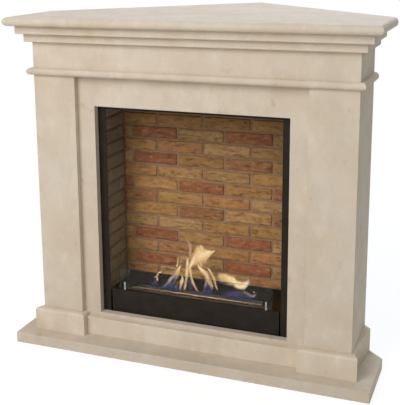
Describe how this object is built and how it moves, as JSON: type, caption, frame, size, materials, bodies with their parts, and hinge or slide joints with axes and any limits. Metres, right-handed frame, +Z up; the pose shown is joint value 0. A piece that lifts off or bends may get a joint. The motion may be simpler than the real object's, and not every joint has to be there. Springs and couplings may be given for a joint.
{
  "type": "corner fireplace",
  "caption": "Stone corner mantel with hearth slab, stepped mouldings and a brick-lined firebox that holds a spirit burner with a sliding shutter and a low glass screen.",
  "frame": {"origin": "centre of the footprint's box, on the floor", "axes": "+X across the front, to the right of someone who faces the fire; +Y from the front into the corner of the room; +Z up"},
  "size_m": [1.096, 0.807, 1.01],
  "materials": {
    "limestone": "honed, softly mottled",
    "brick": "matt, ochre to red brick faces in grey-brown mortar",
    "black_steel": "satin black",
    "sheet_steel": "matt heat-proof black",
    "stainless": "brushed",
    "bright_lip": "polished",
    "chrome": "polished",
    "glass": "clear",
    "ceramic_wool": "soft white fibre",
    "zinc_steel": "zinc-plated"
  },
  "bodies": {
    "surround": {"hearth_slab": "limestone", "plinth_left": "limestone", "plinth_right": "limestone", "plinth_rail": "limestone", "pilaster_left": "limestone", "pilaster_right": "limestone", "side_panel_left": "limestone", "side_panel_right": "limestone", "stile_left": "limestone", "stile_right": "limestone", "sill_panel": "limestone", "header_panel": "limestone", "frieze": "limestone", "astragal_front": "limestone", "astragal_left": "limestone", "astragal_right": "limestone", "bed_lower_front": "limestone", "bed_lower_left": "limestone", "bed_lower_right": "limestone", "bed_upper_front": "limestone", "bed_upper_left": "limestone", "bed_upper_right": "limestone", "mantel_shelf": "limestone", "support_left": "zinc_steel", "support_right": "zinc_steel", "firebox_floor": "sheet_steel", "firebox_side_left": "sheet_steel", "firebox_side_right": "sheet_steel", "firebox_back": "sheet_steel", "firebox_roof": "sheet_steel", "front_flange": "black_steel", "brick_board_back": "brick", "brick_board_left": "brick", "brick_board_right": "brick", "burner_housing": "black_steel", "deck_plate": "black_steel", "deck_upstand": "black_steel", "deck_screws": "black_steel", "fuel_tray": "stainless", "wool_pad": "ceramic_wool", "slot_plate": "stainless", "slot_lip": "bright_lip", "guide_bar_left": "black_steel", "guide_bar_right": "black_steel", "guide_cap_left": "black_steel", "guide_cap_right": "black_steel", "glass_post_left": "chrome", "glass_post_right": "chrome", "glass_screen": "glass", "wall_bracket_left": "zinc_steel", "wall_bracket_right": "zinc_steel", "bracket_screws": "zinc_steel"},
    "shutter": {"shutter": "black_steel", "shutter_knob": "chrome"}
  },
  "joints": [
    {"name": "shutter_slide", "type": "slide", "parent": "surround", "child": "shutter", "axis": [0, -1, 0], "range_m": [0, 0.034]}
  ]
}
